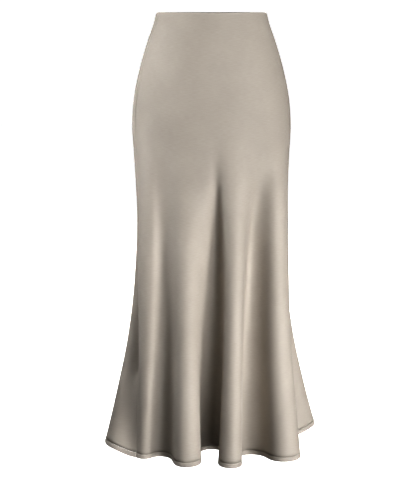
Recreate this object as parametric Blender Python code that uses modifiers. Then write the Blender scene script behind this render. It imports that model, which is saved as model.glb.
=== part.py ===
"""A bias-cut satin mermaid skirt, worn: fitted at the waist and hip, flaring into folds at the hem.

The frame: +Z up, front towards -Y, origin at the centre of the waist opening, level with the
waist edge. Shapes are worked out in millimetres and put into the meshes in metres.

The cloth is drawn as rings, level but for the last ones, which follow the rise and fall of the hem.
A ring starts as the plain body outline at its drop below the waist (BODY). The folds (FOLDS) then
pull it outwards into ridges and inwards into troughs, more and more towards the hem, and short
creases (CREASES) press soft dents into it.
Angles run round the ring in degrees: 0 centre front, 90 on the +X side, 180 centre back.
"""

import bpy
import bmesh
import numpy as np

MM = 0.001

# Driving dimensions, in mm
LENGTH = 940.0          # waist edge to hem, straight down
CLOTH = 1.2             # wall of the panels
SEAM_GAP = 0.3          # between pieces at a seam
WAIST_DIP = 1.2         # the waist edge is this much lower at centre front
DIP_FADES = 120.0       # drop at which the rings are level again
ROLL = ((0.0, 3.6), (1.0, 1.5), (3.5, 0.3))   # (drop, inset) round the turned waist edge
CASING_TOP = 5.0        # drops of the elastic casing inside the waist
CASING_FOOT = 34.0
CASING_CLOTH = 1.6      # elastic and one layer of satin
HEM_DEPTH = 9.0         # the hem is turned up this far, twice
HEM_CLOTH = 2.2         # three layers of satin

# Side seams, halfway between two of the points that a ring is worked out at, and the number of
# even columns of faces in each panel. A narrow column at each end lets the two walls that meet
# at a seam face each other squarely.
LEFT_SEAM = -71.75
RIGHT_SEAM = 71.75
FRONT_COLUMNS = 68
BACK_COLUMNS = 82
END_COLUMN = 1.2        # its width on the hem

# Drops of the panel's rings between the turned waist edge and the hem
RINGS = (34, 90, 150, 210, 270, 350, 440, 530, 620, 700, 770, 830, 885)

# The body outline: drop below the waist, half of the width, depth before and behind the axis
BODY = (
    # drop  half_width  front   back
    (0.0, 117.0, 86.0, 82.0),
    (20.0, 122.0, 89.0, 86.0),
    (60.0, 136.0, 97.0, 97.0),
    (120.0, 154.0, 106.0, 114.0),
    (180.0, 166.5, 111.0, 126.0),
    (235.0, 171.0, 113.0, 129.0),
    (310.0, 168.0, 113.0, 122.0),
    (450.0, 163.5, 114.0, 112.0),
    (540.0, 166.5, 118.0, 114.0),
    (630.0, 171.0, 124.0, 120.0),
    (720.0, 178.0, 131.0, 130.0),
    (810.0, 188.0, 138.0, 142.0),
    (880.0, 196.0, 144.0, 152.0),
    (940.0, 203.0, 148.0, 160.0),
)

# Ridges and troughs, once round the skirt: where each leaves the body (angle), where it lies on
# the hem in plan, the drop of the hem there, the drop at which the fold starts, and how it grows
# from there (1 is evenly)
FOLDS = (
    # name                  angle   hem_x   hem_y  hem_drop  start  growth
    ("left side trough", -79.5, -169.0, -135.0, 942.0, 300.0, 2.20),
    ("front left ridge", -51.5, -145.0, -144.0, 944.0, 235.0, 0.55),
    ("front left trough", -42.0, -115.0, -125.0, 945.0, 370.0, 0.85),
    ("front centre ridge", -20.0, -55.0, -200.0, 941.0, 325.0, 0.95),
    ("front centre trough", 4.0, 7.0, -75.0, 947.0, 240.0, 1.15),
    ("front right ridge", 17.0, 40.0, -204.0, 942.0, 260.0, 1.00),
    ("front right trough", 43.5, 81.0, -100.0, 950.0, 245.0, 0.85),
    ("right side ridge", 56.0, 156.0, -176.0, 938.0, 270.0, 0.70),
    ("right side trough", 89.0, 175.0, -13.0, 950.0, 420.0, 0.90),
    ("right fishtail", 103.0, 237.0, 86.0, 934.0, 420.0, 2.00),
    ("back right trough", 121.0, 150.0, 102.0, 945.0, 400.0, 1.30),
    ("back right ridge", 137.0, 148.0, 180.0, 935.0, 380.0, 1.30),
    ("back middle right trough", 153.0, 90.0, 130.0, 946.0, 360.0, 1.00),
    ("back middle ridge", 169.0, 44.0, 214.0, 937.0, 320.0, 1.10),
    ("back middle left trough", 187.0, -12.0, 112.0, 947.0, 280.0, 0.90),
    ("back left ridge", 205.0, -70.0, 208.0, 936.0, 320.0, 1.10),
    ("back left trough", 222.0, -114.0, 128.0, 946.0, 360.0, 1.00),
    ("back outer ridge", 239.0, -184.0, 156.0, 934.0, 400.0, 1.40),
    ("back outer trough", 252.0, -178.0, 62.0, 944.0, 420.0, 1.40),
    ("left fishtail", 262.5, -234.0, -39.0, 931.0, 420.0, 1.80),
    ("left flare", 271.5, -219.0, -113.0, 929.0, 400.0, 1.75),
)

# Soft dents: the angle at which each starts and ends, half-width in degrees, depth, and the drops
# where it starts, is deepest and ends
CREASES = (
    # name                  top_angle  foot_angle  spread  depth  start  deepest  end
    ("left side crease", -80.5, -80.0, 5.2, 20.0, 200.0, 750.0, 810.0),
    ("front centre crease", 4.0, 4.5, 3.5, 19.5, 240.0, 470.0, 850.0),
    ("front right crease", 39.5, 40.0, 3.5, 13.0, 310.0, 440.0, 800.0),
)

RING_STEPS = 720        # points at which a ring is worked out, half a degree apart
FOLD_ROUNDING = 1.2     # degrees over which the turn of each fold is softened
ONSET = 0.12            # share of a fold's length over which it sets in
SLIDE_GROWTH = 1.4      # a fold slides along the ring later than it rises
STRIP_STEPS = 64        # steps from a ridge to the next trough


def ease(share):
    """0 to 1 with a level start and end."""
    share = np.clip(share, 0.0, 1.0)
    return share * share * (3.0 - 2.0 * share)


def body_sizes(drop):
    """Half width, front depth and back depth of the body at a drop, on a smooth curve through BODY."""
    rows = np.array(BODY)
    drops, sizes = rows[:, 0], rows[:, 1:]
    slopes = np.gradient(sizes, drops, axis=0)
    i = int(np.clip(np.searchsorted(drops, drop) - 1, 0, len(drops) - 2))
    span = drops[i + 1] - drops[i]
    t = (drop - drops[i]) / span
    return (
        (2 * t**3 - 3 * t**2 + 1) * sizes[i]
        + (t**3 - 2 * t**2 + t) * span * slopes[i]
        + (3 * t**2 - 2 * t**3) * sizes[i + 1]
        + (t**3 - t**2) * span * slopes[i + 1]
    )


def body_ring(drop, degrees):
    """Points of the plain body outline in plan, and the directions outwards there."""
    half_width, front, back = body_sizes(drop)
    side, ahead = np.sin(np.radians(degrees)), np.cos(np.radians(degrees))
    depth = back + (front - back) * (1 + ahead) / 2
    points = np.stack([half_width * side, -depth * ahead], axis=-1)
    outwards = np.stack([side / half_width, -ahead / depth], axis=-1)
    return points, outwards / np.linalg.norm(outwards, axis=-1, keepdims=True)


def fold_places(drop):
    """Where each ridge and trough lies on the ring at a drop: x, y and z, once round."""
    angles = np.array([fold[1] for fold in FOLDS])
    on_hem = np.array([fold[2:4] for fold in FOLDS])
    hem_drop, start, growth = np.array([fold[4:] for fold in FOLDS]).T
    begun = np.clip((drop - start) / (LENGTH - start), 0.0, 1.0)
    grown = (begun**2 * (1 + ONSET) / (begun + ONSET)) ** growth
    body, outwards = body_ring(LENGTH, angles)
    forwards = np.stack([-outwards[:, 1], outwards[:, 0]], axis=-1)
    out = ((on_hem - body) * outwards).sum(axis=1) * grown
    slide = ((on_hem - body) * forwards).sum(axis=1) * grown**SLIDE_GROWTH
    places = body_ring(drop, angles)[0] + out[:, None] * outwards + slide[:, None] * forwards
    return np.column_stack([places, -drop - (hem_drop - LENGTH) * grown])


def fold_sides(places):
    """The sides of the folds, each from one of the places to the next, drawn as bent strips lie.

    A strip leaves and arrives square to the ridge or trough there, and its direction swings away
    in between as a sine of the distance along it, just so far that it meets the next place.
    Gives the points of each strip in plan, evenly spaced along it.
    """
    chords = np.roll(places, -1, axis=0) - places
    lengths = np.hypot(*chords.T)
    headings = np.arctan2(chords[:, 1], chords[:, 0])
    bend = (headings - np.roll(headings, 1) + np.pi) % (2 * np.pi) - np.pi
    nearness = lengths / (lengths + np.roll(lengths, 1))
    first = (-bend * nearness)[:, None]
    last = np.roll(bend * (1 - nearness), -1)[:, None]
    share = (np.arange(STRIP_STEPS) + 0.5) / STRIP_STEPS
    swing = np.sin(np.pi * share)
    turn = -(first + last) * np.pi / 4
    for _ in range(12):
        direction = first + (last - first) * share + turn * swing
        miss = np.sin(direction).mean(axis=1) / (np.cos(direction) * swing).mean(axis=1)
        turn -= np.clip(miss, -0.3, 0.3)[:, None]
    direction = first + (last - first) * share + turn * swing + headings[:, None]
    steps = np.stack([np.cos(direction), np.sin(direction)], axis=-1)
    steps *= (lengths / np.linalg.norm(steps.sum(axis=1), axis=-1))[:, None, None]
    strips = np.cumsum(steps, axis=1) + places[:, None]
    return np.concatenate([places[:, None], strips], axis=1)


def softened(values):
    """Values once round a ring, blurred a little along it so that no fold turns abruptly."""
    step = 360.0 / RING_STEPS
    reach = int(3 * FOLD_ROUNDING / step)
    weights = np.exp(-0.5 * (np.arange(-reach, reach + 1) * step / FOLD_ROUNDING) ** 2)
    around = np.concatenate([values[-reach:], values, values[:reach]])
    columns = [np.convolve(column, weights / weights.sum(), mode="valid") for column in around.T]
    return np.stack(columns, axis=-1)


def folded_ring(drop, degrees):
    """Points of the body outline with its folds."""
    places = fold_places(drop)
    strips = fold_sides(places[:, :2])
    angles = np.array([fold[1] for fold in FOLDS])
    past = (degrees - angles[0]) % 360.0
    starts = angles - angles[0]
    ends = np.append(starts[1:], 360.0)
    points = np.empty((len(degrees), 3))
    for k, (start, end) in enumerate(zip(starts, ends)):
        here = (past >= start) & (past < end)
        share = (past[here] - start) / (end - start)
        marks = np.linspace(0.0, 1.0, STRIP_STEPS + 1)
        for i in (0, 1):
            points[here, i] = np.interp(share, marks, strips[k, :, i])
        next_z = places[(k + 1) % len(places), 2]
        points[here, 2] = places[k, 2] + (next_z - places[k, 2]) * ease(share)
    return softened(points)


def crease_depth(drop, degrees):
    """How far the creases press each point of a ring inwards."""
    depth = np.zeros(len(degrees))
    for _, top_angle, foot_angle, spread, deep, start, deepest, end in CREASES:
        along = ease((drop - start) / (deepest - start)) * ease((end - drop) / (end - deepest))
        angle = np.interp(drop, (start, LENGTH), (top_angle, foot_angle))
        off = (degrees - angle + 180.0) % 360.0 - 180.0
        depth += deep * along * np.exp(-0.5 * (off / spread) ** 2)
    return depth


def cloth_ring(drop):
    """(degrees, points, directions outwards in plan) of the cloth's outer face at a drop."""
    degrees = np.arange(RING_STEPS) * 360.0 / RING_STEPS
    points = folded_ring(drop, degrees)
    points[:, :2] -= crease_depth(drop, degrees)[:, None] * body_ring(drop, degrees)[1]
    along = np.roll(points, -1, axis=0) - np.roll(points, 1, axis=0)
    square = np.stack([along[:, 1], -along[:, 0]], axis=-1)
    return degrees, points, square / np.linalg.norm(square, axis=-1, keepdims=True)


def even_columns(start, end, count):
    """Angles that cut the hem between two seams into equal lengths, with a narrow one at each end."""
    degrees, points, _ = cloth_ring(LENGTH)
    fine = np.linspace(start, end, 2000)
    x, y = (np.interp(fine, degrees, points[:, i], period=360.0) for i in (0, 1))
    travel = np.concatenate([[0.0], np.cumsum(np.hypot(np.diff(x), np.diff(y)))])
    marks = np.linspace(END_COLUMN, travel[-1] - END_COLUMN, count + 1)
    return np.interp([0.0, *marks, travel[-1]], travel, fine)


def cloth_row(drop, columns, inset=0.0):
    """Points in space, in mm, of one row of the cloth's outer face, at some angles."""
    degrees, points, square = cloth_ring(drop)
    points[:, :2] -= inset * square
    x, y, z = (np.interp(columns, degrees, points[:, i], period=360.0) for i in (0, 1, 2))
    dip = WAIST_DIP * ((1 + np.cos(np.radians(columns))) / 2) ** 2
    return np.stack([x, y, z - dip * (1 - ease(drop / DIP_FADES))], axis=-1)


def trimmed(row):
    """A row with both ends drawn in by half of the seam's gap."""
    row = row.copy()
    for end, neighbour in ((0, 1), (-1, -2)):
        along = row[neighbour] - row[end]
        row[end] += along / np.linalg.norm(along) * SEAM_GAP / 2
    return row


def satin(name, colour, roughness):
    """A satin finish: the slot's colour, with some of the fibre's metallic lustre."""
    material = bpy.data.materials.new(name)
    material.use_nodes = True
    shader = material.node_tree.nodes["Principled BSDF"]
    shader.inputs["Base Color"].default_value = (*colour, 1.0)
    shader.inputs["Roughness"].default_value = roughness
    shader.inputs["Metallic"].default_value = 0.3
    return material


def sheet(name, rows, thickness, material, collection, closed=False):
    """Cloth through rows of outer points in mm, given its thickness inwards."""
    mesh = bpy.data.meshes.new(name)
    work = bmesh.new()
    grid = [[work.verts.new(point * MM) for point in row] for row in rows]
    count = len(rows[0])
    last = count if closed else count - 1
    for upper, lower in zip(grid, grid[1:]):
        for i in range(last):
            k = (i + 1) % count
            work.faces.new((upper[i], lower[i], lower[k], upper[k]))
    work.to_mesh(mesh)
    work.free()
    mesh.materials.append(material)
    mesh.shade_smooth()
    piece = bpy.data.objects.new(name, mesh)
    collection.objects.link(piece)
    wall = piece.modifiers.new("cloth", "SOLIDIFY")
    wall.thickness = thickness * MM
    wall.offset = -1.0
    return piece


def build_panel(name, columns, material, collection):
    """One panel, cut in one from the turned waist edge to the hem."""
    rows = [trimmed(cloth_row(drop, columns, inset)) for drop, inset in ROLL]
    drops = [*RINGS, LENGTH - HEM_DEPTH - SEAM_GAP]
    rows += [trimmed(cloth_row(drop, columns)) for drop in drops]
    return sheet(name, rows, CLOTH, material, collection)


def build_hem(name, columns, material, collection):
    """The turned-up hem under a panel: thicker than the panel, and so a little proud of it."""
    proud = (HEM_CLOTH - CLOTH) / 2
    drops = (LENGTH - HEM_DEPTH, LENGTH)
    rows = [trimmed(cloth_row(drop, columns, -proud)) for drop in drops]
    return sheet(name, rows, HEM_CLOTH, material, collection)


def build_casing(name, columns, material, collection):
    """The elastic casing: a band all round inside the waist, just clear of the panels."""
    inset = CLOTH + SEAM_GAP
    rows = [cloth_row(drop, columns, inset) for drop in (CASING_TOP, CASING_FOOT)]
    return sheet(name, rows, CASING_CLOTH, material, collection, closed=True)


def main():
    for old in list(bpy.data.objects):
        bpy.data.objects.remove(old)
    collection = bpy.data.collections.new("mermaid_skirt")
    bpy.context.scene.collection.children.link(collection)

    face = satin("satin_face", (0.42, 0.37, 0.31), 0.38)
    wrong_side = satin("satin_wrong_side", (0.36, 0.32, 0.27), 0.6)

    front = even_columns(LEFT_SEAM, RIGHT_SEAM, FRONT_COLUMNS)
    back = even_columns(RIGHT_SEAM, LEFT_SEAM + 360.0, BACK_COLUMNS)
    build_panel("front_panel", front, face, collection)
    build_panel("back_panel", back, face, collection)
    build_hem("front_hem", front, face, collection)
    build_hem("back_hem", back, face, collection)
    build_casing("waist_casing", np.concatenate([front[:-1], back[:-1]]), wrong_side, collection)


main()
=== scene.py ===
import math

import bpy
import numpy as np
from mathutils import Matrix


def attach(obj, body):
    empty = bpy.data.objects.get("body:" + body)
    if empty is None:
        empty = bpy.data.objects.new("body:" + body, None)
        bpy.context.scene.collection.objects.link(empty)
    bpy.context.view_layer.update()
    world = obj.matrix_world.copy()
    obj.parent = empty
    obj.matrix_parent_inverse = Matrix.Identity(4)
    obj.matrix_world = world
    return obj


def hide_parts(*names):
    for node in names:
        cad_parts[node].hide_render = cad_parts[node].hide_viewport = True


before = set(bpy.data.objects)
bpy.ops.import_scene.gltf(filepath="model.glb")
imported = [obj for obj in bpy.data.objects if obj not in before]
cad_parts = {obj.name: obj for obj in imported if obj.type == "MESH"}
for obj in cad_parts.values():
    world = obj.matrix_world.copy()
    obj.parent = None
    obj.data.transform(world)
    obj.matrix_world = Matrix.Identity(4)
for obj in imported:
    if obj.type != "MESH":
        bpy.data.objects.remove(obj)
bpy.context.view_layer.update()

# ---------------------------------------------------------------------------------------------
# Front and back panels: polyester satin cut on the bias, each in one piece from the turned waist
# edge to the hem. Warp threads float over the face, so it shines softly; the wrong side is dull.
# The two are joined in plain side seams, whose edges roll in a little and pucker faintly.
# ---------------------------------------------------------------------------------------------

# The form: the satin clings to the hips and knees and then runs out into deep round folds. It is
# worked out as level rings round a general figure: the plain body outline at each drop below the
# waist, pulled out into ridges and in to troughs by the folds, and dented by a few creases.
MM = 0.001
LENGTH = 940.0          # waist edge to hem, in mm, as all sizes up to the studio's
WAIST_DIP = 1.2         # the waist edge is this much lower at centre front
DIP_FADES = 120.0       # drop at which the rings are level again

# The body outline: drop below the waist, half of the width, depth before and behind the axis
BODY = (
    # drop  half_width  front   back
    (0.0, 117.0, 86.0, 82.0),
    (20.0, 122.0, 89.0, 86.0),
    (60.0, 136.0, 97.0, 97.0),
    (120.0, 154.0, 106.0, 114.0),
    (180.0, 166.5, 111.0, 126.0),
    (235.0, 171.0, 113.0, 129.0),
    (310.0, 168.0, 113.0, 122.0),
    (450.0, 163.5, 114.0, 112.0),
    (540.0, 166.5, 118.0, 114.0),
    (630.0, 171.0, 124.0, 120.0),
    (720.0, 178.0, 131.0, 130.0),
    (810.0, 188.0, 138.0, 142.0),
    (880.0, 196.0, 144.0, 152.0),
    (940.0, 203.0, 148.0, 160.0),
)

# Ridges and troughs, once round the skirt: where each leaves the body (angle, from 0 at centre
# front to 90 at +X and 180 at centre back), where it lies on the hem in plan, the drop of the
# hem there, the drop at which the fold starts, and how it grows from there (1 is evenly)
FOLDS = (
    # name                  angle   hem_x   hem_y  hem_drop  start  growth
    ("left side trough", -79.5, -169.0, -135.0, 942.0, 300.0, 2.20),
    ("front left ridge", -51.5, -145.0, -144.0, 944.0, 235.0, 0.55),
    ("front left trough", -42.0, -115.0, -125.0, 945.0, 370.0, 0.85),
    ("front centre ridge", -20.0, -55.0, -200.0, 941.0, 325.0, 0.95),
    ("front centre trough", 4.0, 7.0, -75.0, 947.0, 240.0, 1.15),
    ("front right ridge", 17.0, 40.0, -204.0, 942.0, 260.0, 1.00),
    ("front right trough", 43.5, 81.0, -100.0, 950.0, 245.0, 0.85),
    ("right side ridge", 56.0, 156.0, -176.0, 938.0, 270.0, 0.70),
    ("right side trough", 89.0, 175.0, -13.0, 950.0, 420.0, 0.90),
    ("right fishtail", 103.0, 237.0, 86.0, 934.0, 420.0, 2.00),
    ("back right trough", 121.0, 150.0, 102.0, 945.0, 400.0, 1.30),
    ("back right ridge", 137.0, 148.0, 180.0, 935.0, 380.0, 1.30),
    ("back middle right trough", 153.0, 90.0, 130.0, 946.0, 360.0, 1.00),
    ("back middle ridge", 169.0, 44.0, 214.0, 937.0, 320.0, 1.10),
    ("back middle left trough", 187.0, -12.0, 112.0, 947.0, 280.0, 0.90),
    ("back left ridge", 205.0, -70.0, 208.0, 936.0, 320.0, 1.10),
    ("back left trough", 222.0, -114.0, 128.0, 946.0, 360.0, 1.00),
    ("back outer ridge", 239.0, -184.0, 156.0, 934.0, 400.0, 1.40),
    ("back outer trough", 252.0, -178.0, 62.0, 944.0, 420.0, 1.40),
    ("left fishtail", 262.5, -234.0, -39.0, 931.0, 420.0, 1.80),
    ("left flare", 271.5, -219.0, -113.0, 929.0, 400.0, 1.75),
)

# Soft dents: the angle at which each starts and ends, half-width in degrees, depth, and the
# drops where it starts, is deepest and ends
CREASES = (
    # name                  top_angle  foot_angle  spread  depth  start  deepest  end
    ("left side crease", -80.5, -80.0, 5.2, 20.0, 200.0, 750.0, 810.0),
    ("front centre crease", 4.0, 4.5, 3.5, 19.5, 240.0, 470.0, 850.0),
    ("front right crease", 40.5, 41.0, 5.2, 9.5, 290.0, 460.0, 800.0),
)

RING_STEPS = 1440       # points at which a ring is worked out
FOLD_ROUNDING = 1.2     # degrees over which the turn of each fold is softened
ONSET = 0.12            # share of a fold's length over which it sets in
SLIDE_GROWTH = 1.4      # a fold slides along the ring later than it rises
STRIP_STEPS = 64        # steps from a ridge to the next trough
BEND_ROUNDS = 12        # times that the bend of a strip is corrected,
BEND_LIMIT = 0.3        # and the most that one correction turns it, in radians
TRAVEL_STEPS = 4000     # steps in which lengths along the cloth are measured


def ease(share):
    """0 to 1 with a level start and end."""
    share = np.clip(share, 0.0, 1.0)
    return share * share * (3.0 - 2.0 * share)


def body_sizes(drop):
    """Half width, front depth and back depth of the body at a drop, on a smooth curve through BODY."""
    rows = np.array(BODY)
    drops, sizes = rows[:, 0], rows[:, 1:]
    slopes = np.gradient(sizes, drops, axis=0)
    i = int(np.clip(np.searchsorted(drops, drop) - 1, 0, len(drops) - 2))
    span = drops[i + 1] - drops[i]
    t = (drop - drops[i]) / span
    return (
        (2 * t**3 - 3 * t**2 + 1) * sizes[i]
        + (t**3 - 2 * t**2 + t) * span * slopes[i]
        + (3 * t**2 - 2 * t**3) * sizes[i + 1]
        + (t**3 - t**2) * span * slopes[i + 1]
    )


def body_ring(drop, degrees):
    """Points of the plain body outline in plan, and the directions outwards there."""
    half_width, front, back = body_sizes(drop)
    side, ahead = np.sin(np.radians(degrees)), np.cos(np.radians(degrees))
    depth = back + (front - back) * (1 + ahead) / 2
    points = np.stack([half_width * side, -depth * ahead], axis=-1)
    outwards = np.stack([side / half_width, -ahead / depth], axis=-1)
    return points, outwards / np.linalg.norm(outwards, axis=-1, keepdims=True)


def fold_places(drop):
    """Where each ridge and trough lies on the ring at a drop: x, y and z, once round."""
    angles = np.array([fold[1] for fold in FOLDS])
    on_hem = np.array([fold[2:4] for fold in FOLDS])
    hem_drop, start, growth = np.array([fold[4:] for fold in FOLDS]).T
    begun = np.clip((drop - start) / (LENGTH - start), 0.0, 1.0)
    grown = (begun**2 * (1 + ONSET) / (begun + ONSET)) ** growth
    body, outwards = body_ring(LENGTH, angles)
    forwards = np.stack([-outwards[:, 1], outwards[:, 0]], axis=-1)
    out = ((on_hem - body) * outwards).sum(axis=1) * grown
    slide = ((on_hem - body) * forwards).sum(axis=1) * grown**SLIDE_GROWTH
    places = body_ring(drop, angles)[0] + out[:, None] * outwards + slide[:, None] * forwards
    return np.column_stack([places, -drop - (hem_drop - LENGTH) * grown])


def fold_sides(places):
    """The sides of the folds, each from one of the places to the next, drawn as bent strips lie.

    A strip leaves and arrives square to the ridge or trough there, and its direction swings away
    in between as a sine of the distance along it, just so far that it meets the next place.
    Gives the points of each strip in plan, evenly spaced along it.
    """
    chords = np.roll(places, -1, axis=0) - places
    lengths = np.hypot(*chords.T)
    headings = np.arctan2(chords[:, 1], chords[:, 0])
    bend = (headings - np.roll(headings, 1) + np.pi) % (2 * np.pi) - np.pi
    nearness = lengths / (lengths + np.roll(lengths, 1))
    first = (-bend * nearness)[:, None]
    last = np.roll(bend * (1 - nearness), -1)[:, None]
    share = (np.arange(STRIP_STEPS) + 0.5) / STRIP_STEPS
    swing = np.sin(np.pi * share)
    turn = -(first + last) * np.pi / 4
    for _ in range(BEND_ROUNDS):
        direction = first + (last - first) * share + turn * swing
        miss = np.sin(direction).mean(axis=1) / (np.cos(direction) * swing).mean(axis=1)
        turn -= np.clip(miss, -BEND_LIMIT, BEND_LIMIT)[:, None]
    direction = first + (last - first) * share + turn * swing + headings[:, None]
    steps = np.stack([np.cos(direction), np.sin(direction)], axis=-1)
    steps *= (lengths / np.linalg.norm(steps.sum(axis=1), axis=-1))[:, None, None]
    strips = np.cumsum(steps, axis=1) + places[:, None]
    return np.concatenate([places[:, None], strips], axis=1)


def softened(values):
    """Values once round a ring, blurred a little along it so that no fold turns abruptly."""
    step = 360.0 / RING_STEPS
    reach = int(3 * FOLD_ROUNDING / step)
    weights = np.exp(-0.5 * (np.arange(-reach, reach + 1) * step / FOLD_ROUNDING) ** 2)
    around = np.concatenate([values[-reach:], values, values[:reach]])
    columns = [np.convolve(column, weights / weights.sum(), mode="valid") for column in around.T]
    return np.stack(columns, axis=-1)


def folded_ring(drop, degrees):
    """Points of the body outline with its folds."""
    places = fold_places(drop)
    strips = fold_sides(places[:, :2])
    angles = np.array([fold[1] for fold in FOLDS])
    past = (degrees - angles[0]) % 360.0
    starts = angles - angles[0]
    ends = np.append(starts[1:], 360.0)
    points = np.empty((len(degrees), 3))
    for k, (start, end) in enumerate(zip(starts, ends)):
        here = (past >= start) & (past < end)
        share = (past[here] - start) / (end - start)
        marks = np.linspace(0.0, 1.0, STRIP_STEPS + 1)
        for i in (0, 1):
            points[here, i] = np.interp(share, marks, strips[k, :, i])
        next_z = places[(k + 1) % len(places), 2]
        points[here, 2] = places[k, 2] + (next_z - places[k, 2]) * ease(share)
    return softened(points)


def crease_depth(drop, degrees):
    """How far the creases press each point of a ring inwards."""
    depth = np.zeros(len(degrees))
    for _, top_angle, foot_angle, spread, deep, start, deepest, end in CREASES:
        along = ease((drop - start) / (deepest - start)) * ease((end - drop) / (end - deepest))
        angle = np.interp(drop, (start, LENGTH), (top_angle, foot_angle))
        off = (degrees - angle + 180.0) % 360.0 - 180.0
        depth += deep * along * np.exp(-0.5 * (off / spread) ** 2)
    return depth


def cloth_ring(drop):
    """(degrees, points, directions outwards in plan) of the cloth's outer face at a drop."""
    degrees = np.arange(RING_STEPS) * 360.0 / RING_STEPS
    points = folded_ring(drop, degrees)
    points[:, :2] -= crease_depth(drop, degrees)[:, None] * body_ring(drop, degrees)[1]
    along = np.roll(points, -1, axis=0) - np.roll(points, 1, axis=0)
    square = np.stack([along[:, 1], -along[:, 0]], axis=-1)
    return degrees, points, square / np.linalg.norm(square, axis=-1, keepdims=True)


def along_ring(drop, start, end):
    """Fine angles from one to another on the ring at a drop, and how far along the cloth each is."""
    degrees, points, _ = cloth_ring(drop)
    fine = np.linspace(start, end, TRAVEL_STEPS)
    x, y = (np.interp(fine, degrees, points[:, i], period=360.0) for i in (0, 1))
    travel = np.concatenate([[0.0], np.cumsum(np.hypot(np.diff(x), np.diff(y)))])
    return fine, travel


def cloth_row(drop, columns, inset=0.0):
    """Points in space, in mm, of one row of the cloth's outer face, at some angles."""
    degrees, points, square = cloth_ring(drop)
    x, y, z = (np.interp(columns, degrees, points[:, i], period=360.0) for i in (0, 1, 2))
    inwards = [-np.interp(columns, degrees, square[:, i], period=360.0) for i in (0, 1)]
    dip = WAIST_DIP * ((1 + np.cos(np.radians(columns))) / 2) ** 2 * (1 - ease(drop / DIP_FADES))
    return np.stack([x + inset * inwards[0], y + inset * inwards[1], z - dip], axis=-1)


SEAM_GAP = 0.3          # between pieces at a seam
LEFT_SEAM = -71.75      # angles of the side seams
RIGHT_SEAM = 71.75
SATIN = 0.35            # thickness of the cloth
HEM_DEPTH = 9.0         # how far the hem is turned up

# The turned waist edge: drop, and how far the cloth is rolled in there
ROLL = ((0.0, 3.6), (0.25, 2.6), (1.0, 1.5), (2.0, 0.75), (3.5, 0.3), (6.0, 0.05))

# The seams: distance from the seam along the hem, and how far the cloth is rolled in there
SEAM_ROLL = ((0.0, 0.9), (1.5, 0.38), (4.0, 0.08), (9.0, 0.0))

PUCKER = 0.3            # how deep the seam puckers are
PUCKER_REACH = 16.0     # and how far they run from the seam, along the hem
PUCKER_WAVE = 3.9       # drop from one pucker to the next, divided by two pi
PUCKER_STRAY = 1.7      # radians by which they stray from even spacing
PUCKER_DRIFT = 41.0     # drop over which they stray, divided by two pi
PUCKER_SPELL = 57.0     # drop over which they fade and come again, divided by pi
FRONT_COLUMNS = 250
BACK_COLUMNS = 300
FIRST_ROW = 9.0         # drop of the first row of the mesh below the rolled edge
ROW_STEP = 6.5          # drop from one row to the next


def linear(colour):
    """A colour written as sRGB hex, in the linear values that shaders take."""
    parts = [int(colour[i:i + 2], 16) / 255 for i in (1, 3, 5)]
    return [p / 12.92 if p <= 0.04045 else ((p + 0.055) / 1.055) ** 2.4 for p in parts] + [1.0]


def add(tree, kind, settings=(), inputs=(), links=()):
    """Adds a node: settings by attribute, inputs by name, and links as input name to output."""
    node = tree.nodes.new(kind)
    for name, value in dict(settings).items():
        setattr(node, name, value)
    for name, value in dict(inputs).items():
        node.inputs[name].default_value = value
    for name, output in dict(links).items():
        tree.links.new(output, node.inputs[name])
    return node


SHINE_SWING = 0.04      # how far the roughness of the satin wavers either way
SLUB_SHARE = 0.8        # weight of the slubs in its tone, where the clouds weigh 1


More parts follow.
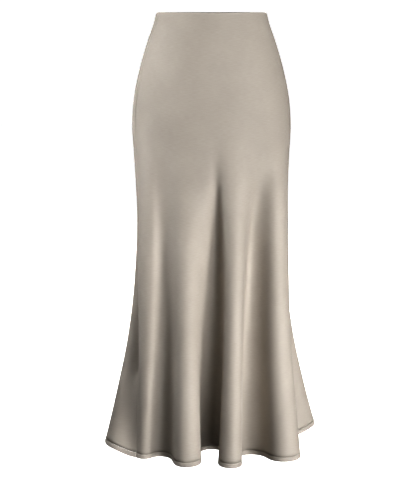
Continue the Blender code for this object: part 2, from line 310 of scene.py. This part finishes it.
def satin(name, light, dark, roughness, metallic, sheen):
    """Woven polyester satin: a broad soft shine that wavers a little from place to place, a close
    diagonal weave, and the faint slubs of single threads, which lie at 45 degrees on the bias."""
    material = bpy.data.materials.new(name)
    material.use_nodes = True
    tree = material.node_tree
    tree.nodes.clear()
    place = add(tree, "ShaderNodeTexCoord")
    # The wavering of the shine, in clouds about 90 mm across
    clouds = add(tree, "ShaderNodeTexNoise", inputs={"Scale": 11.0, "Detail": 3.0},
                 links={"Vector": place.outputs["Object"]})
    # Slubs about 12 mm long and 0.8 mm wide
    on_grain = add(tree, "ShaderNodeMapping",
                   inputs={"Rotation": (0.0, 0.0, math.radians(45.0)), "Scale": (80.0, 1200.0, 1.0)},
                   links={"Vector": place.outputs["UV"]})
    slubs = add(tree, "ShaderNodeTexNoise", {"noise_dimensions": "2D"}, {"Scale": 1.0, "Detail": 2.0},
                {"Vector": on_grain.outputs["Vector"]})
    both = add(tree, "ShaderNodeMath", {"operation": "MULTIPLY_ADD"},
               links={0: slubs.outputs["Fac"], 2: clouds.outputs["Fac"]})
    both.inputs[1].default_value = SLUB_SHARE
    tone = add(tree, "ShaderNodeMapRange", inputs={"From Min": 0.6, "From Max": 1.2},
               links={"Value": both.outputs["Value"]})
    colour = add(tree, "ShaderNodeMix", {"data_type": "RGBA"}, links={"Factor": tone.outputs["Result"]})
    colour.inputs["A"].default_value = linear(dark)
    colour.inputs["B"].default_value = linear(light)
    rough = add(tree, "ShaderNodeMapRange",
                inputs={"To Min": roughness + SHINE_SWING, "To Max": roughness - SHINE_SWING},
                links={"Value": tone.outputs["Result"]})
    # The weave is drawn at 1.3 mm, coarser than the real 0.15 mm, so that it shows at all close up
    threads = add(tree, "ShaderNodeTexWave", {"wave_type": "BANDS", "bands_direction": "DIAGONAL"},
                  {"Scale": 350.0, "Distortion": 1.2, "Detail": 2.0, "Detail Scale": 3.0},
                  {"Vector": place.outputs["UV"]})
    weave = add(tree, "ShaderNodeBump", inputs={"Strength": 0.12, "Distance": 0.0002},
                links={"Height": threads.outputs["Fac"]})
    # The cloth is never quite flat: soft rises some 25 mm apart
    rises = add(tree, "ShaderNodeTexNoise", inputs={"Scale": 38.0, "Detail": 1.0},
                links={"Vector": place.outputs["Object"]})
    relief = add(tree, "ShaderNodeBump", inputs={"Strength": 0.35, "Distance": 0.0012},
                 links={"Height": rises.outputs["Fac"], "Normal": weave.outputs["Normal"]})
    shader = add(tree, "ShaderNodeBsdfPrincipled",
                 inputs={"Metallic": metallic, "Sheen Weight": sheen, "Sheen Roughness": 0.5},
                 links={"Base Color": colour.outputs["Result"], "Roughness": rough.outputs["Result"],
                        "Normal": relief.outputs["Normal"]})
    add(tree, "ShaderNodeOutputMaterial", links={"Surface": shader.outputs["BSDF"]})
    return material


satin_face = satin("polyester_satin_face", light="#A9A197", dark="#9E968C",
                   roughness=0.66, metallic=0.05, sheen=0.0)
satin_back = satin("polyester_satin_wrong_side", light="#9A9187", dark="#90877D",
                   roughness=0.64, metallic=0.0, sheen=0.2)


def cloth_mesh(name, rows, thickness, materials, closed=False):
    """A piece of cloth through rows of outer points in mm, with its thickness inwards and a UV
    map in metres of cloth."""
    rows = np.array(rows)
    count, width = rows.shape[:2]
    last = width if closed else width - 1
    i, j = np.meshgrid(np.arange(last), np.arange(count - 1))
    k = (i + 1) % width
    faces = np.stack([j * width + i, (j + 1) * width + i, (j + 1) * width + k, j * width + k], axis=-1)
    mesh = bpy.data.meshes.new(name)
    mesh.from_pydata((rows.reshape(-1, 3) * MM).tolist(), [], faces.reshape(-1, 4).tolist())
    across = np.linalg.norm(np.diff(rows, axis=1), axis=2).cumsum(axis=1)
    across = np.concatenate([np.zeros((count, 1)), across], axis=1)
    across -= across[:, width // 2][:, None]
    down = np.linalg.norm(np.diff(rows, axis=0), axis=2).cumsum(axis=0)
    down = np.concatenate([np.zeros((1, width)), down], axis=0)
    spread = np.stack([across, down], axis=-1).reshape(-1, 2) * MM
    corners = np.array([loop.vertex_index for loop in mesh.loops])
    mesh.uv_layers.new(name="cloth").data.foreach_set("uv", spread[corners].ravel())
    mesh.shade_smooth()
    for material in materials:
        mesh.materials.append(material)
    piece = bpy.data.objects.new(name, mesh)
    bpy.context.scene.collection.objects.link(piece)
    wall = piece.modifiers.new("cloth", "SOLIDIFY")
    wall.thickness = thickness * MM
    wall.offset = -1.0
    wall.material_offset = len(materials) - 1
    return piece


def trimmed(row):
    """A row with both ends drawn in by half of the seam's gap."""
    row = row.copy()
    for end, neighbour in ((0, 1), (-1, -2)):
        along = row[neighbour] - row[end]
        row[end] += along / np.linalg.norm(along) * SEAM_GAP / 2
    return row


def seam_inset(drop, marks):
    """How far the cloth sinks at its distances from both seams, where it rolls in and puckers."""
    near = np.minimum(marks, marks[-1] - marks)
    roll = np.interp(near, *np.transpose(SEAM_ROLL))
    stray = PUCKER_STRAY * math.sin(drop / PUCKER_DRIFT)
    wave = math.sin(drop / PUCKER_WAVE + stray) * math.sin(drop / PUCKER_SPELL)
    return roll + PUCKER * wave * (1 - ease(near / PUCKER_REACH))


panel_foot = LENGTH - HEM_DEPTH - SEAM_GAP
drops = np.linspace(FIRST_ROW, panel_foot, int((panel_foot - FIRST_ROW) / ROW_STEP))
seam_marks = np.array([mark for mark, _ in SEAM_ROLL[:-1]])
for name, start, end, count in (
    ("front", LEFT_SEAM, RIGHT_SEAM, FRONT_COLUMNS),
    ("back", RIGHT_SEAM, LEFT_SEAM + 360.0, BACK_COLUMNS),
):
    angles, travel = along_ring(LENGTH, start, end)
    width = travel[-1]
    marks = np.linspace(SEAM_ROLL[-1][0], width - SEAM_ROLL[-1][0], count + 1)
    marks = np.concatenate([seam_marks, marks, width - seam_marks[::-1]])
    columns = np.interp(marks, travel, angles)
    rows = [trimmed(cloth_row(drop, columns, inset + seam_inset(drop, marks))) for drop, inset in ROLL]
    rows += [trimmed(cloth_row(drop, columns, seam_inset(drop, marks))) for drop in drops]
    piece = cloth_mesh(name + "_panel_cloth", rows, SATIN, [satin_face, satin_back])
    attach(piece, "root")
    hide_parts(name + "_panel")

# ---------------------------------------------------------------------------------------------
# Thread: fine polyester sewing thread, a shade lighter than the cloth. Stitches are laid along a
# path and the overlock's thread runs to and fro over a raw edge; both are drawn by geometry nodes.
# ---------------------------------------------------------------------------------------------

THREAD = 0.28           # its diameter
STITCH = 2.4            # length of a stitch
STITCH_GAP = 0.5        # from one stitch to the next


def thread_material():
    """Spun polyester thread: a shade lighter than the cloth, matt, with a fine twist."""
    material = bpy.data.materials.new("polyester_thread")
    material.use_nodes = True
    tree = material.node_tree
    shader = tree.nodes["Principled BSDF"]
    place = add(tree, "ShaderNodeTexCoord")
    # The twist of the thread, in specks about 0.6 mm long
    twist = add(tree, "ShaderNodeTexNoise", inputs={"Scale": 1800.0, "Detail": 1.0},
                links={"Vector": place.outputs["Object"]})
    colour = add(tree, "ShaderNodeMix", {"data_type": "RGBA"}, links={"Factor": twist.outputs["Fac"]})
    colour.inputs["A"].default_value = linear("#BDB2A2")
    colour.inputs["B"].default_value = linear("#D6CDBF")
    ply = add(tree, "ShaderNodeBump", inputs={"Strength": 0.4, "Distance": 0.0001},
              links={"Height": twist.outputs["Fac"]})
    shader.inputs["Roughness"].default_value = 0.6
    shader.inputs["Sheen Weight"].default_value = 0.15
    tree.links.new(colour.outputs["Result"], shader.inputs["Base Color"])
    tree.links.new(ply.outputs["Normal"], shader.inputs["Normal"])
    return material


thread = thread_material()


def node_group(name, sizes):
    """A new geometry node group with one geometry in and out and its sizes as named inputs."""
    group = bpy.data.node_groups.new(name, "GeometryNodeTree")
    group.interface.new_socket("Geometry", in_out="INPUT", socket_type="NodeSocketGeometry")
    for size, value in sizes:
        socket = group.interface.new_socket(size, in_out="INPUT", socket_type="NodeSocketFloat")
        socket.default_value = value
    group.interface.new_socket("Geometry", in_out="OUTPUT", socket_type="NodeSocketGeometry")
    return group


def finish_group(group, geometry):
    """Gives the geometry its thread material and ends the group with it."""
    sewing = add(group, "GeometryNodeSetMaterial", inputs={"Material": thread},
                 links={"Geometry": geometry})
    add(group, "NodeGroupOutput", links={"Geometry": sewing.outputs["Geometry"]})


def stitch_group():
    """Stitches along a path: short rounded lengths of thread, one after another."""
    group = node_group("stitch_row", (("Stitch", STITCH * MM), ("Gap", STITCH_GAP * MM),
                                      ("Thread", THREAD * MM)))
    given = add(group, "NodeGroupInput")
    path = add(group, "GeometryNodeMeshToCurve", links={"Mesh": given.outputs["Geometry"]})
    pitch = add(group, "ShaderNodeMath", {"operation": "ADD"},
                links={0: given.outputs["Stitch"], 1: given.outputs["Gap"]})
    places = add(group, "GeometryNodeResampleCurve", {"mode": "LENGTH"},
                 links={"Curve": path.outputs["Curve"], "Length": pitch.outputs["Value"]})
    stitch = add(group, "GeometryNodeMeshUVSphere", inputs={"Segments": 6, "Rings": 5, "Radius": 0.5})
    tangent = add(group, "GeometryNodeInputTangent")
    turned = add(group, "FunctionNodeAlignRotationToVector", {"axis": "Z"},
                 links={"Vector": tangent.outputs["Tangent"]})
    size = add(group, "ShaderNodeCombineXYZ",
               links={"X": given.outputs["Thread"], "Y": given.outputs["Thread"],
                      "Z": given.outputs["Stitch"]})
    row = add(group, "GeometryNodeInstanceOnPoints",
              links={"Points": places.outputs["Curve"], "Instance": stitch.outputs["Mesh"],
                     "Rotation": turned.outputs["Rotation"], "Scale": size.outputs["Vector"]})
    real = add(group, "GeometryNodeRealizeInstances", links={"Geometry": row.outputs["Instances"]})
    smooth = add(group, "GeometryNodeSetShadeSmooth", links={"Geometry": real.outputs["Geometry"]})
    finish_group(group, smooth.outputs["Geometry"])
    return group


def strand_group():
    """One thread along a path."""
    group = node_group("strand", (("Thread", THREAD * MM),))
    given = add(group, "NodeGroupInput")
    path = add(group, "GeometryNodeMeshToCurve", links={"Mesh": given.outputs["Geometry"]})
    half = add(group, "ShaderNodeMath", {"operation": "MULTIPLY"}, links={0: given.outputs["Thread"]})
    half.inputs[1].default_value = 0.5
    around = add(group, "GeometryNodeCurvePrimitiveCircle", {"mode": "RADIUS"}, {"Resolution": 5},
                 {"Radius": half.outputs["Value"]})
    tube = add(group, "GeometryNodeCurveToMesh", inputs={"Fill Caps": True},
               links={"Curve": path.outputs["Curve"], "Profile Curve": around.outputs["Curve"]})
    smooth = add(group, "GeometryNodeSetShadeSmooth", links={"Geometry": tube.outputs["Mesh"]})
    finish_group(group, smooth.outputs["Geometry"])
    return group


stitches, strand = stitch_group(), strand_group()


def sewn(name, points, group, closed=False, **sizes):
    """Thread work along a path of points in mm: runs a node group on it and keeps the mesh."""
    count = len(points)
    edges = [(i, (i + 1) % count) for i in range(count if closed else count - 1)]
    mesh = bpy.data.meshes.new(name)
    mesh.from_pydata((np.array(points) * MM).tolist(), edges, [])
    piece = bpy.data.objects.new(name, mesh)
    bpy.context.scene.collection.objects.link(piece)
    work = piece.modifiers.new("thread", "NODES")
    work.node_group = group
    for socket in group.interface.items_tree:
        if socket.in_out == "INPUT" and socket.name in sizes:
            work[socket.identifier] = sizes[socket.name] * MM
    ready = piece.evaluated_get(bpy.context.evaluated_depsgraph_get())
    done = bpy.data.meshes.new_from_object(ready)
    piece.modifiers.clear()
    piece.data = done
    done.name = name
    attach(piece, "root")
    return piece


# ---------------------------------------------------------------------------------------------
# Seam allowances: the raw edges of both panels behind each side seam, overlocked together and
# pressed towards the back, against the inside of the back panel.
# ---------------------------------------------------------------------------------------------

ALLOWANCE = 9.0         # distance of the raw edge from the seam
ALLOWANCE_START = 0.6   # and of the edge that is sewn
ALLOWANCE_TOP = 37.0    # drop at its upper end, below the casing
ALLOWANCE_FOOT = 929.0  # and at its lower end, above the hem
ALLOWANCE_CLOTH = 0.6   # two layers
ALLOWANCE_GAP = 0.25    # between it and the inside of the panel
ALLOWANCE_COLUMNS = 5
ALLOWANCE_ROWS = 150
ALLOWANCE_ARC = 20.0    # degrees from the seam in which its width is measured
OVERLOCK = 3.0          # from one loop of the overlock to the next
OVERLOCK_OVER = 0.15    # how far the loops reach over the raw edge,
OVERLOCK_BITE = 4.5     # how far they reach in from it,
OVERLOCK_GAP = 0.35     # and how far they lie from the panel, apart from the cloth between
OVERLOCK_END = 1.0      # how far short of the allowance's ends the overlock stops


def at_width(drop, seam, way, widths, inset):
    """Points of a row of the cloth at some distances from a seam, measured along the cloth."""
    angles, travel = along_ring(drop, seam, seam + way * ALLOWANCE_ARC)
    return cloth_row(drop, np.interp(widths, travel, angles), inset)


allowances = []
for side, seam, way in (("right", RIGHT_SEAM, 1), ("left", LEFT_SEAM, -1)):
    widths = np.linspace(ALLOWANCE_START, ALLOWANCE, ALLOWANCE_COLUMNS)[::way]
    sink = SATIN + ALLOWANCE_GAP + PUCKER + np.interp(widths, *np.transpose(SEAM_ROLL))
    rows = [at_width(drop, seam, way, widths, sink)
            for drop in np.linspace(ALLOWANCE_TOP, ALLOWANCE_FOOT, ALLOWANCE_ROWS)]
    strip = cloth_mesh(side + "_seam_allowance", rows, ALLOWANCE_CLOTH, [satin_back])
    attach(strip, "root")
    loops = np.arange(ALLOWANCE_TOP + OVERLOCK_END, ALLOWANCE_FOOT - OVERLOCK_END, OVERLOCK / 2)
    turns = [ALLOWANCE - OVERLOCK_BITE, ALLOWANCE + OVERLOCK_OVER]
    under = SATIN + OVERLOCK_GAP + PUCKER + ALLOWANCE_CLOTH
    edge = [at_width(drop, seam, way, [turns[i % 2]], under)[0] for i, drop in enumerate(loops)]
    overlock = sewn(side + "_seam_overlock", edge, strand, Thread=THREAD)
    allowances += [strip, overlock]

# ---------------------------------------------------------------------------------------------
# Turned hems: the edge of each panel turned up twice and stitched, a little fuller than the
# cloth above it, with a rounded lower edge. A hem turned on the bias ropes slightly.
# ---------------------------------------------------------------------------------------------

HEM_PROFILE = (
    # height above the hem's edge, how far out of the panel's face
    (9.0, -0.05), (8.4, -0.14), (7.8, -0.04), (6.6, 0.2), (5.0, 0.34), (3.0, 0.45), (1.6, 0.42),
    (0.8, 0.25), (0.3, 0.0), (0.05, -0.3), (0.0, -0.6),
)
HEM_CLOTH = 0.95        # three layers
HEM_STEP = 3.0          # from one column of the mesh to the next
ROPING = 0.16           # how deep the diagonal roping is
ROPE_STEP = 11.0        # from one rope to the next
ROPE_SLANT = 1.2        # how far a rope runs along the hem for each mm up
ROPE_TOP = 7.0          # height at which the roping ends
ROPE_STRAY = 2.0        # radians by which the ropes stray from even spacing
ROPE_DRIFT = 53.0       # length over which they stray, divided by two pi
STITCH_LINE = 8.2       # height of the stitches above the edge
STITCH_INSET = 0.08     # how far their middle lies inside the panel's face

# Flat size of each panel, in metres: a little over its greatest width and length along the cloth,
# and its area in square metres
for name, start, end, flat, area in (
    ("front", LEFT_SEAM, RIGHT_SEAM, (0.82, 0.98), 0.49),
    ("back", RIGHT_SEAM, LEFT_SEAM + 360.0, (1.41, 0.99), 0.68),
):
    angles, travel = along_ring(LENGTH, start, end)
    marks = np.linspace(0.0, travel[-1], int(travel[-1] / HEM_STEP) + 1)
    columns = np.interp(marks, travel, angles)
    rows = []
    for above, out in HEM_PROFILE:
        stray = ROPE_STRAY * np.sin(marks / ROPE_DRIFT)
        rope = ROPING * np.sin((marks + ROPE_SLANT * above) * 2 * math.pi / ROPE_STEP + stray)
        drop = LENGTH - above
        inset = seam_inset(drop, marks) - out - rope * (above < ROPE_TOP)
        rows.append(trimmed(cloth_row(drop, columns, inset)))
    hem = cloth_mesh(name + "_hem_cloth", rows, HEM_CLOTH, [satin_face, satin_back])
    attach(hem, "root")
    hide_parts(name + "_hem")
    line = cloth_row(LENGTH - STITCH_LINE, columns[1:-1], STITCH_INSET)
    row = sewn(name + "_hem_stitches", line, stitches, Stitch=STITCH, Gap=STITCH_GAP, Thread=THREAD)

# ---------------------------------------------------------------------------------------------
# Waist casing: a flat elastic inside the waist, in a turned casing of the same satin with its
# wrong side showing. The elastic draws it into fine gathers; its lower edge is overlocked.
# ---------------------------------------------------------------------------------------------

CASING_TOP = 5.0        # drop at its upper edge
CASING_FOOT = 34.0      # and at its lower edge
CASING_RING = 20.0      # drop at which its girth is measured
CASING_CLOTH = 1.0      # satin, elastic and satin
CASING_INSET = 1.85     # how far its outer face lies inside the panels'
CASING_BULGE = 0.35     # how much farther in it lies at mid height
CASING_ROWS = 12
CASING_COLUMNS = 560
GATHERS = 88            # once round
GATHER_DEPTH = 0.22
GATHER_STRAY = 2.2      # radians by which the gathers stray from even spacing
GATHER_DRIFT = 29.0     # length over which they stray, divided by two pi
GATHER_LEAN = 25.0      # drop over which a gather leans by one radian of its wave

# The turns of the overlock: drop below the casing's foot, and distance from its inside
LOWER_TURNS = (0.2, 0.2)
UPPER_TURNS = (-4.0, 0.45)

angles, travel = along_ring(CASING_RING, LEFT_SEAM, LEFT_SEAM + 360.0)
marks = np.linspace(0.0, travel[-1], CASING_COLUMNS, endpoint=False)
columns = np.interp(marks, travel, angles)
stray = GATHER_STRAY * np.sin(marks / GATHER_DRIFT)
rows = []
for drop in np.linspace(CASING_TOP, CASING_FOOT, CASING_ROWS):
    gathers = np.sin(marks * 2 * math.pi / travel[-1] * GATHERS + stray + drop / GATHER_LEAN)
    bulge = CASING_BULGE * math.sin(math.pi * (drop - CASING_TOP) / (CASING_FOOT - CASING_TOP))
    rows.append(cloth_row(drop, columns, CASING_INSET + bulge + GATHER_DEPTH * gathers))
casing = cloth_mesh("waist_casing_cloth", rows, CASING_CLOTH, [satin_back], closed=True)
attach(casing, "root")
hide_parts("waist_casing")
marks = np.linspace(0.0, travel[-1], 2 * int(travel[-1] / OVERLOCK), endpoint=False)
around = np.interp(marks, travel, angles)
low, high = (cloth_row(CASING_FOOT + drop, around, CASING_INSET + CASING_CLOTH + inside)
             for drop, inside in (LOWER_TURNS, UPPER_TURNS))
edge = np.where((np.arange(len(marks)) % 2 == 0)[:, None], low, high)
overlock = sewn("waist_casing_overlock", edge, strand, closed=True, Thread=THREAD)

# ---------------------------------------------------------------------------------------------
# Studio: a white floor and room that only the camera sees, soft boxes and the camera.
# Big boxes light the whole skirt: two from its front right, one from its left, one from behind.
# Small gridded ones, whose light spreads little, model the hip and the hem apart from each other.
# ---------------------------------------------------------------------------------------------

# Sizes and places here are in metres and angles in degrees
FLOOR = -1.06           # where the wearer would stand
ROOM = 9.0              # from the middle of the room to its walls and ceiling
HAZE = 0.01             # strength of the even light from all round
FOCAL_LENGTH = 90.38    # of the camera, in mm
CAMERA_PLACE = (-0.0074, -2.6, 0.0)     # level with the waist edge
CAMERA_TILT = 79.286    # up from straight down

# The boxes by what they light: the height aimed at, distance, width, and spread let out by a grid
WHOLE = {"height": -0.47, "distance": 3.0, "size": 1.5, "spread": 180.0}
HIP = {"height": -0.12, "distance": 2.4, "size": 0.8, "spread": 26.0}
HEM = {"height": -0.75, "distance": 2.4, "size": 0.8, "spread": 30.0}


def soft_box(name, azimuth, elevation, watts, height, distance, size, spread):
    """A square studio light that faces the skirt's axis at a height. Azimuth 0 is in front and 90
    at +X."""
    light = bpy.data.lights.new(name, "AREA")
    light.shape = "SQUARE"
    light.size = size
    light.energy = watts
    light.spread = math.radians(spread)
    turn, lift = math.radians(azimuth), math.radians(elevation)
    towards = np.array((math.sin(turn) * math.cos(lift), -math.cos(turn) * math.cos(lift), math.sin(lift)))
    box = bpy.data.objects.new(name, light)
    box.location = np.array((0.0, 0.0, height)) + distance * towards
    box.rotation_euler = (math.pi / 2 - lift, 0.0, turn)
    bpy.context.scene.collection.objects.link(box)


for name, azimuth, elevation, watts, lit in (
    ("key_box_high", 38.0, 48.0, 61.0, WHOLE),
    ("key_box_low", 38.0, -12.0, 40.0, WHOLE),
    ("left_box", -85.0, 48.0, 26.0, WHOLE),
    ("hip_box_left", -80.0, -5.0, 1.9, HIP),
    ("hip_box_far_left", -110.0, 35.0, 0.8, HIP),
    ("hip_box_right", 25.0, 35.0, 0.5, HIP),
    ("hem_box_right", 50.0, -5.0, 2.0, HEM),
    ("hem_box_high", 25.0, 35.0, 0.7, HEM),
    ("hem_box_far_left", -110.0, 35.0, 0.9, HEM),
    ("back_box", 180.0, 30.0, 90.0, WHOLE),
):
    soft_box(name, azimuth, elevation, watts, **lit)

world = bpy.data.worlds.new("studio")
world.use_nodes = True
world.node_tree.nodes["Background"].inputs["Color"].default_value = (1.0, 1.0, 1.0, 1.0)
world.node_tree.nodes["Background"].inputs["Strength"].default_value = HAZE
bpy.context.scene.world = world


def plain_white(name):
    """Matt white paint, lit so brightly that it shows as plain white with no shadow on it."""
    material = bpy.data.materials.new(name)
    material.use_nodes = True
    shader = material.node_tree.nodes["Principled BSDF"]
    shader.inputs["Base Color"].default_value = linear("#F4F2EF")
    shader.inputs["Roughness"].default_value = 0.9
    shader.inputs["Emission Color"].default_value = (1.0, 1.0, 1.0, 1.0)
    shader.inputs["Emission Strength"].default_value = 1.0
    return material


def stage_piece(name, mesh, material):
    """A piece of the studio, seen by the camera but casting no light on the skirt."""
    mesh.materials.append(material)
    piece = bpy.data.objects.new(name, mesh)
    bpy.context.scene.collection.objects.link(piece)
    piece.visible_diffuse = False
    piece.visible_glossy = False
    piece.visible_transmission = False
    piece.visible_shadow = False


floor_mesh = bpy.data.meshes.new("floor")
floor_mesh.from_pydata([(-ROOM, -ROOM, FLOOR), (ROOM, -ROOM, FLOOR), (ROOM, ROOM, FLOOR),
                        (-ROOM, ROOM, FLOOR)], [], [(0, 1, 2, 3)])
stage_piece("floor", floor_mesh, plain_white("floor_paint"))
room_mesh = bpy.data.meshes.new("room")
corners = [(x, y, z) for x in (-ROOM, ROOM) for y in (-ROOM, ROOM) for z in (FLOOR, ROOM)]
room_mesh.from_pydata(corners, [], [(0, 1, 3, 2), (4, 6, 7, 5), (0, 4, 5, 1), (2, 3, 7, 6), (1, 5, 7, 3)])
stage_piece("room", room_mesh, plain_white("room_paint"))

# Colours are shown as they are, but for a gamma that darkens the middle tones and so deepens the folds
bpy.context.scene.view_settings.view_transform = "Standard"
bpy.context.scene.view_settings.gamma = 0.82

lens = bpy.data.cameras.new("camera")
lens.lens = FOCAL_LENGTH
lens.clip_end = 50.0
camera = bpy.data.objects.new("camera", lens)
camera.location = CAMERA_PLACE
camera.rotation_euler = (math.radians(CAMERA_TILT), 0.0, 0.0)
bpy.context.scene.collection.objects.link(camera)
bpy.context.scene.camera = camera
